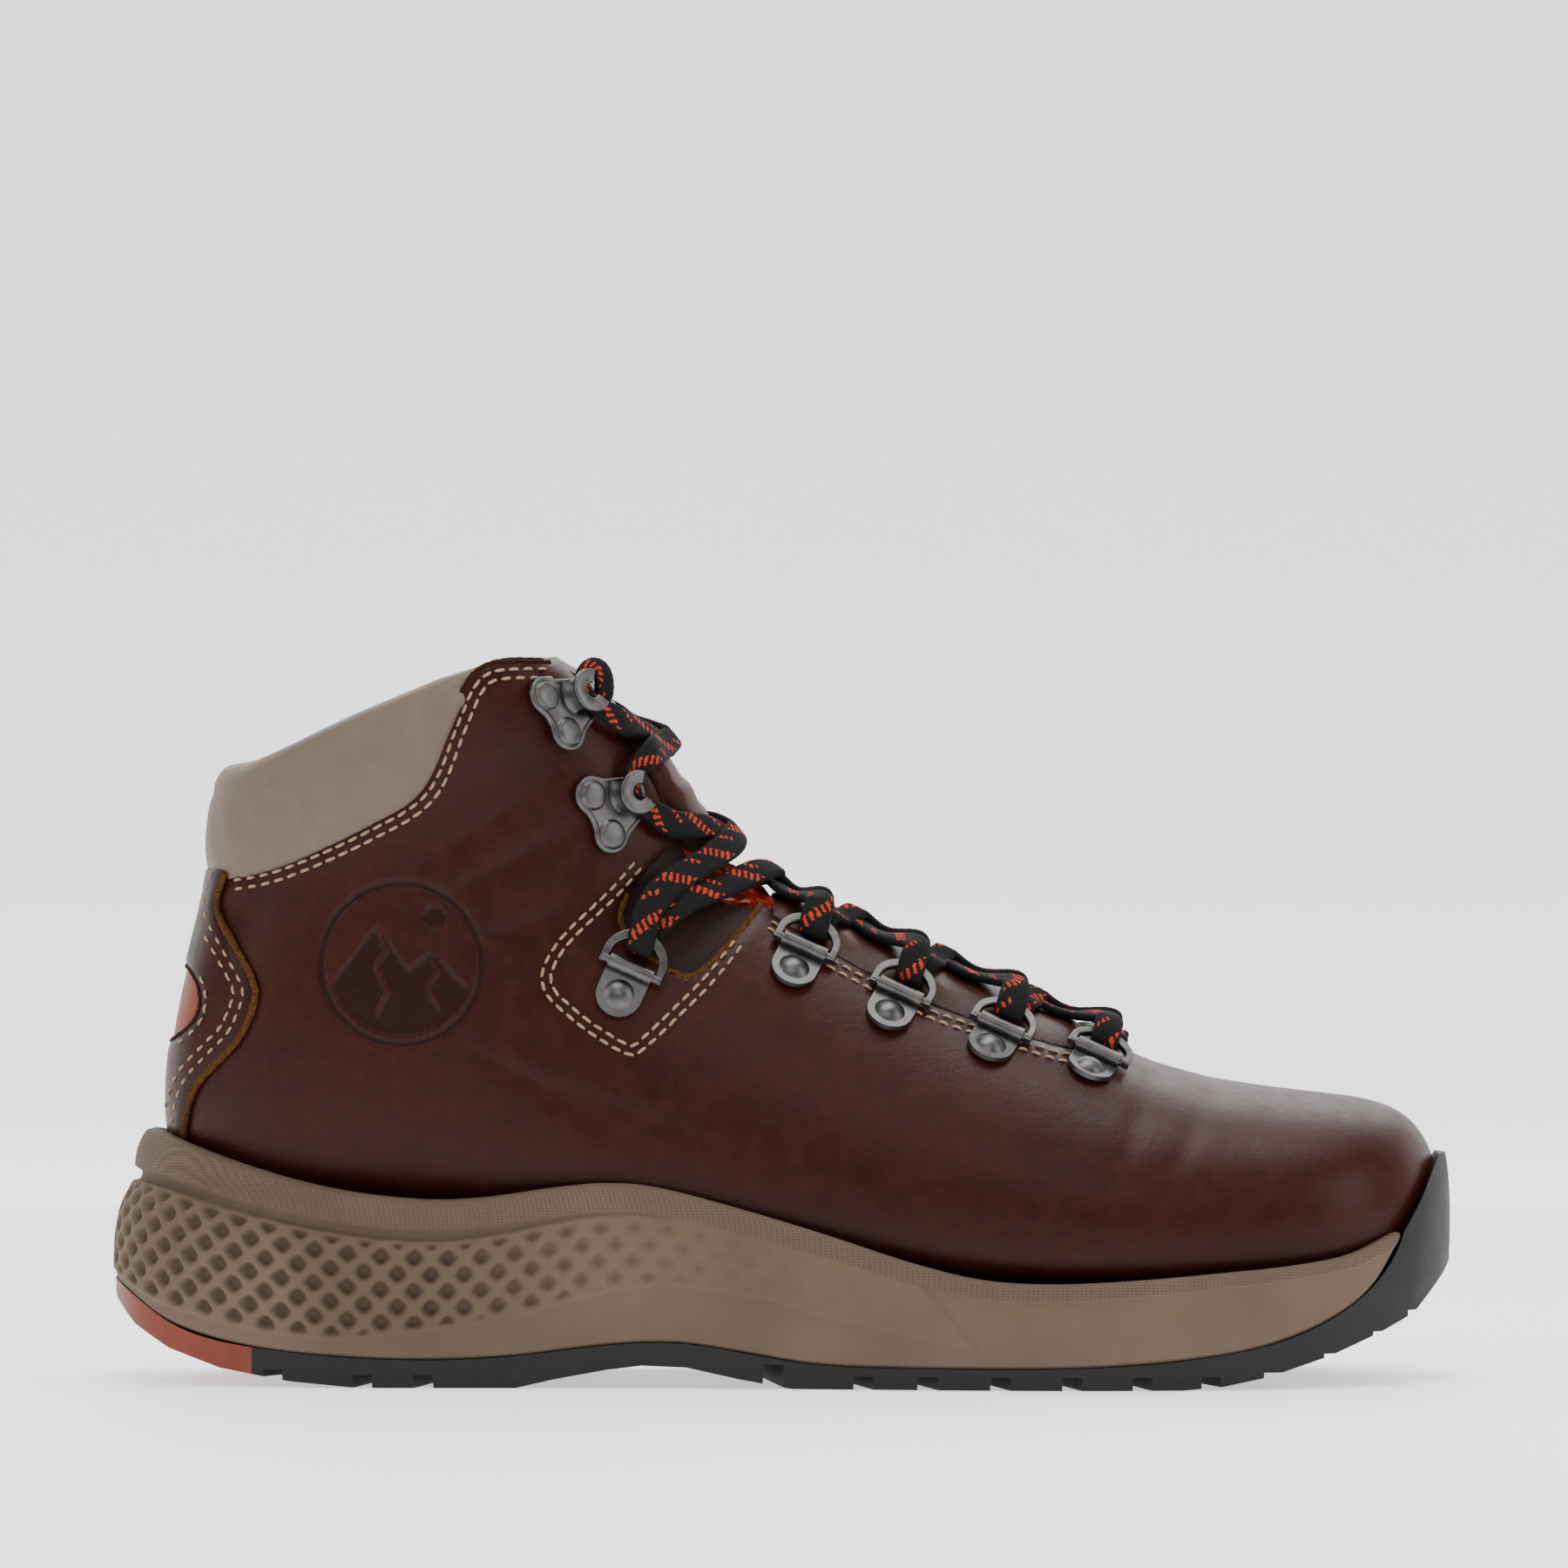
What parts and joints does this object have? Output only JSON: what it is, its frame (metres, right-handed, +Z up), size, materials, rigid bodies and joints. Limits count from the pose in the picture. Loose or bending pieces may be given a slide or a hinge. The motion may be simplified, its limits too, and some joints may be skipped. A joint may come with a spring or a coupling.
{
  "type": "hiking boot",
  "caption": "Mid-height leather hiking boot for a right foot, with padded collar, foam midsole, lugged rubber tread, hinged D-ring lace loops, open hooks and a flat lace.",
  "frame": {"origin": "on the ground, under the middle of the boot's box", "axes": "+X from heel to toe, +Y towards the inner side of the foot, +Z up"},
  "size_m": [0.307, 0.1064, 0.1683],
  "materials": {
    "brown_leather": "burnished full-grain, semi-gloss",
    "dark_leather": "smooth, darker dyed",
    "grey_leather": "soft fine-grained",
    "tan_leather": "smooth",
    "eva_foam": "matt moulded foam",
    "black_rubber": "matt",
    "orange_rubber": "matt",
    "lining_textile": "brushed mesh",
    "orange_knit": "knit",
    "board": "fibre board",
    "steel": "mill",
    "lace_cord": "flat braid, black with red flecks",
    "satin_nickel": "satin nickel plate"
  },
  "bodies": {
    "boot": {"clip_rivets_inner": "satin_nickel", "clip_rivets_outer": "satin_nickel", "collar_pad": "grey_leather", "flex_patch_inner": "dark_leather", "flex_patch_outer": "dark_leather", "footbed": "eva_foam", "heel_counter": "board", "heel_insert": "tan_leather", "heel_panel": "brown_leather", "hook_rivets_inner": "satin_nickel", "hook_rivets_outer": "satin_nickel", "insole_board": "board", "instep_pad": "brown_leather", "lace": "lace_cord", "lace_clips_inner": "satin_nickel", "lace_clips_outer": "satin_nickel", "lace_hook_inner_lower": "satin_nickel", "lace_hook_inner_upper": "satin_nickel", "lace_hook_outer_lower": "satin_nickel", "lace_hook_outer_upper": "satin_nickel", "lining": "lining_textile", "midsole": "eva_foam", "outsole": "black_rubber", "outsole_heel": "orange_rubber", "rivet_backs_inner": "satin_nickel", "rivet_backs_outer": "satin_nickel", "shank": "steel", "toe_puff": "board", "tongue": "brown_leather", "tongue_gusset": "orange_knit", "upper_leather": "brown_leather"},
    "ring_outer_1": {"d_ring_outer_1": "satin_nickel"},
    "ring_outer_2": {"d_ring_outer_2": "satin_nickel"},
    "ring_outer_3": {"d_ring_outer_3": "satin_nickel"},
    "ring_outer_4": {"d_ring_outer_4": "satin_nickel"},
    "ring_outer_5": {"d_ring_outer_5": "satin_nickel"},
    "ring_inner_1": {"d_ring_inner_1": "satin_nickel"},
    "ring_inner_2": {"d_ring_inner_2": "satin_nickel"},
    "ring_inner_3": {"d_ring_inner_3": "satin_nickel"},
    "ring_inner_4": {"d_ring_inner_4": "satin_nickel"},
    "ring_inner_5": {"d_ring_inner_5": "satin_nickel"}
  },
  "joints": [
    {"name": "ring_hinge_outer_1", "type": "hinge", "parent": "boot", "child": "ring_outer_1", "pos_m": [-0.03486, -0.03232, 0.09497], "axis": [0.9114, -0.0113, -0.4113], "range_deg": [0, 60], "deforming": ["lace"]},
    {"name": "ring_hinge_outer_2", "type": "hinge", "parent": "boot", "child": "ring_outer_2", "pos_m": [0.00469, -0.02068, 0.09971], "axis": [0.9095, -0.067, -0.4104], "range_deg": [0, 60]},
    {"name": "ring_hinge_outer_3", "type": "hinge", "parent": "boot", "child": "ring_outer_3", "pos_m": [0.02656, -0.02329, 0.08958], "axis": [0.9048, -0.1215, -0.4082], "range_deg": [0, 60]},
    {"name": "ring_hinge_outer_4", "type": "hinge", "parent": "boot", "child": "ring_outer_4", "pos_m": [0.04952, -0.02358, 0.08151], "axis": [0.9027, -0.139, -0.4073], "range_deg": [0, 60]},
    {"name": "ring_hinge_outer_5", "type": "hinge", "parent": "boot", "child": "ring_outer_5", "pos_m": [0.07186, -0.01863, 0.07554], "axis": [0.9062, -0.1078, -0.4089], "range_deg": [0, 60]},
    {"name": "ring_hinge_inner_1", "type": "hinge", "parent": "boot", "child": "ring_inner_1", "pos_m": [-0.03486, 0.03338, 0.09495], "axis": [-0.9115, -0.0032, 0.4113], "range_deg": [0, 60]},
    {"name": "ring_hinge_inner_2", "type": "hinge", "parent": "boot", "child": "ring_inner_2", "pos_m": [0.00464, 0.02228, 0.09968], "axis": [-0.9077, -0.0907, 0.4096], "range_deg": [0, 60]},
    {"name": "ring_hinge_inner_3", "type": "hinge", "parent": "boot", "child": "ring_inner_3", "pos_m": [0.02651, 0.02538, 0.08955], "axis": [-0.9027, -0.1388, 0.4073], "range_deg": [0, 60]},
    {"name": "ring_hinge_inner_4", "type": "hinge", "parent": "boot", "child": "ring_inner_4", "pos_m": [0.04947, 0.02651, 0.08148], "axis": [-0.8988, -0.1665, 0.4055], "range_deg": [0, 60]},
    {"name": "ring_hinge_inner_5", "type": "hinge", "parent": "boot", "child": "ring_inner_5", "pos_m": [0.07181, 0.02316, 0.07553], "axis": [-0.9008, -0.1528, 0.4065], "range_deg": [0, 60]}
  ]
}
